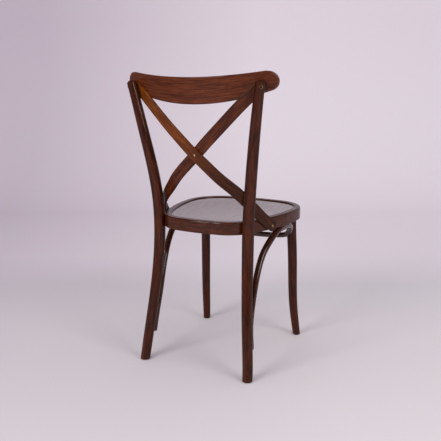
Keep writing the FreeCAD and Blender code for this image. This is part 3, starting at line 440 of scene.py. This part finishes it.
camera_data = bpy.data.cameras.new("camera")
camera_data.sensor_width = SENSOR
camera_data.lens = FOCAL_PIXELS * SENSOR / IMAGE_SIDE
camera_data.clip_start = CLIP_NEAR
camera_data.clip_end = CLIP_FAR
camera = bpy.data.objects.new("camera", camera_data)
bpy.context.scene.collection.objects.link(camera)
camera.location = CAMERA_PLACE
look = AHEAD * math.cos(CAMERA_PITCH) + Vector((0, 0, math.sin(CAMERA_PITCH)))
camera.rotation_euler = look.to_track_quat("-Z", "Y").to_euler()
bpy.context.scene.camera = camera

# A paper sweep: floor, a wide curve and a wall behind, well away from the chair.
SWEEP_WIDTH = 14.0
WALL_AWAY = 3.6
WALL_HEIGHT = 4.5
SWEEP_CURVE = 1.4
FLOOR_BEHIND_CAMERA = 4.5
CURVE_PARTS = 24

sweep = bmesh.new()
start = sweep.verts.new(RIGHT * -SWEEP_WIDTH / 2 - AHEAD * FLOOR_BEHIND_CAMERA)
curve_start = sweep.verts.new(RIGHT * -SWEEP_WIDTH / 2 + AHEAD * (WALL_AWAY - SWEEP_CURVE))
sweep.edges.new((start, curve_start))
pivot = curve_start.co + Vector((0, 0, SWEEP_CURVE))
turned = bmesh.ops.spin(sweep, geom=[curve_start], cent=pivot, axis=RIGHT, angle=math.radians(90),
                        steps=CURVE_PARTS, use_merge=False, use_duplicate=False)
curve_end = [item for item in turned["geom_last"] if isinstance(item, bmesh.types.BMVert)][0]
wall_top = sweep.verts.new(curve_end.co + Vector((0, 0, WALL_HEIGHT)))
sweep.edges.new((curve_end, wall_top))
pulled = bmesh.ops.extrude_edge_only(sweep, edges=sweep.edges[:])
far_edge = [item for item in pulled["geom"] if isinstance(item, bmesh.types.BMVert)]
bmesh.ops.translate(sweep, vec=RIGHT * SWEEP_WIDTH, verts=far_edge)
for face in sweep.faces:
    face.smooth = True
sweep_mesh = bpy.data.meshes.new("paper_sweep")
sweep.to_mesh(sweep_mesh)
sweep.free()
backdrop = bpy.data.objects.new("paper_sweep", sweep_mesh)
bpy.context.scene.collection.objects.link(backdrop)

# The paper's tone by the distance behind the chair, in metres, with painted shade darker around the chair and
# painted light brighter towards the wall, and how much painted shade darkens it to the left.
PAPER_NEAR, PAPER_FAR = -2.0, 3.0
PAPER_TONES = [(0.3, "#c6c0c4"), (0.44, "#cac4c8"), (0.53, "#cbc5cb"), (0.62, "#dbd3da"), (0.8, "#e2dae1")]
PAPER_LEFT, PAPER_RIGHT = -1.5, 0.3
LEFT_SHADE = "#e0dbe1"

paper, tree = new_material("matt_backdrop_paper")
place = add_node(tree, "ShaderNodeTexCoord")
behind = add_node(tree, "ShaderNodeVectorMath", values={1: AHEAD}, operation="DOT_PRODUCT",
                  links={0: place.outputs["Object"]})
depth = add_node(tree, "ShaderNodeMapRange", values={"From Min": PAPER_NEAR, "From Max": PAPER_FAR},
                 links={"Value": behind.outputs["Value"]})
paper_tone_and_shade = add_node(tree, "ShaderNodeValToRGB", links={"Fac": depth.outputs["Result"]})
set_ramp(paper_tone_and_shade, PAPER_TONES)
beside = add_node(tree, "ShaderNodeVectorMath", values={1: RIGHT}, operation="DOT_PRODUCT",
                  links={0: place.outputs["Object"]})
leftness = add_node(tree, "ShaderNodeMapRange",
                    values={"From Min": PAPER_LEFT, "From Max": PAPER_RIGHT, "To Min": 1.0, "To Max": 0.0},
                    links={"Value": beside.outputs["Value"]})
shaded = add_node(tree, "ShaderNodeMix", values={COLOUR_B: linear(LEFT_SHADE)}, data_type="RGBA",
                  blend_type="MULTIPLY",
                  links={"Factor": leftness.outputs["Result"], COLOUR_A: paper_tone_and_shade.outputs["Color"]})
paper_shader = add_node(tree, "ShaderNodeBsdfPrincipled",
                        values={"Roughness": 0.9, "Specular IOR Level": 0.1},
                        links={"Base Color": shaded.outputs[MIXED]})
give_output(tree, paper_shader)
sweep_mesh.materials.append(paper)

# The room is pale to matt surfaces and dim in the lacquer's reflections, as between two softboxes.
ROOM_COLOUR = "#fbf9fb"
ROOM_LIGHT = 0.84
ROOM_IN_REFLECTIONS = 0.12

world = bpy.data.worlds.new("studio")
world.use_nodes = True
bpy.context.scene.world = world
room = world.node_tree
rays = add_node(room, "ShaderNodeLightPath")
level = add_node(room, "ShaderNodeMapRange", values={"To Min": ROOM_LIGHT, "To Max": ROOM_IN_REFLECTIONS},
                 links={"Value": rays.outputs["Is Glossy Ray"]})
room.nodes["Background"].inputs["Color"].default_value = linear(ROOM_COLOUR)
room.links.new(level.outputs["Result"], room.nodes["Background"].inputs["Strength"])

# A softbox's silk shows this many times brighter in the lacquer than it lights the wood.
SOFTBOX_IN_REFLECTIONS = 3.0


def softbox(name, place, target, width, height, power):
    """A rectangular lamp that looks at a point of the chair."""
    lamp = bpy.data.lights.new(name, "AREA")
    lamp.shape = "RECTANGLE"
    lamp.size = width
    lamp.size_y = height
    lamp.energy = power
    lamp.use_nodes = True
    glow = lamp.node_tree
    seen = add_node(glow, "ShaderNodeLightPath")
    strength = add_node(glow, "ShaderNodeMapRange", values={"To Min": 1.0, "To Max": SOFTBOX_IN_REFLECTIONS},
                        links={"Value": seen.outputs["Is Glossy Ray"]})
    glow.links.new(strength.outputs["Result"], glow.nodes["Emission"].inputs["Strength"])
    box = bpy.data.objects.new(name, lamp)
    bpy.context.scene.collection.objects.link(box)
    box.location = place
    box.rotation_euler = (target - place).to_track_quat("-Z", "Y").to_euler()


# Two tall softboxes stand to the left and right of the camera, low enough to show in the upright posts.
CHAIR_MIDDLE = Vector((0, 0, 0.5))
SOFTBOX_ASIDE = 1.9
SOFTBOX_WIDTH = 1.3
SOFTBOX_HEIGHT = 1.5
SOFTBOX_MIDDLE = 1.5
# The right softbox is weaker, so the right sides of the posts are the darker ones.
LEFT_POWER = 56
RIGHT_POWER = 36

for name, aside, power in (("softbox_left", -SOFTBOX_ASIDE, LEFT_POWER),
                           ("softbox_right", SOFTBOX_ASIDE, RIGHT_POWER)):
    stand = CAMERA_PLACE + RIGHT * aside
    stand.z = SOFTBOX_MIDDLE
    softbox(name, stand, CHAIR_MIDDLE, SOFTBOX_WIDTH, SOFTBOX_HEIGHT, power)

bpy.context.scene.view_settings.view_transform = "Standard"
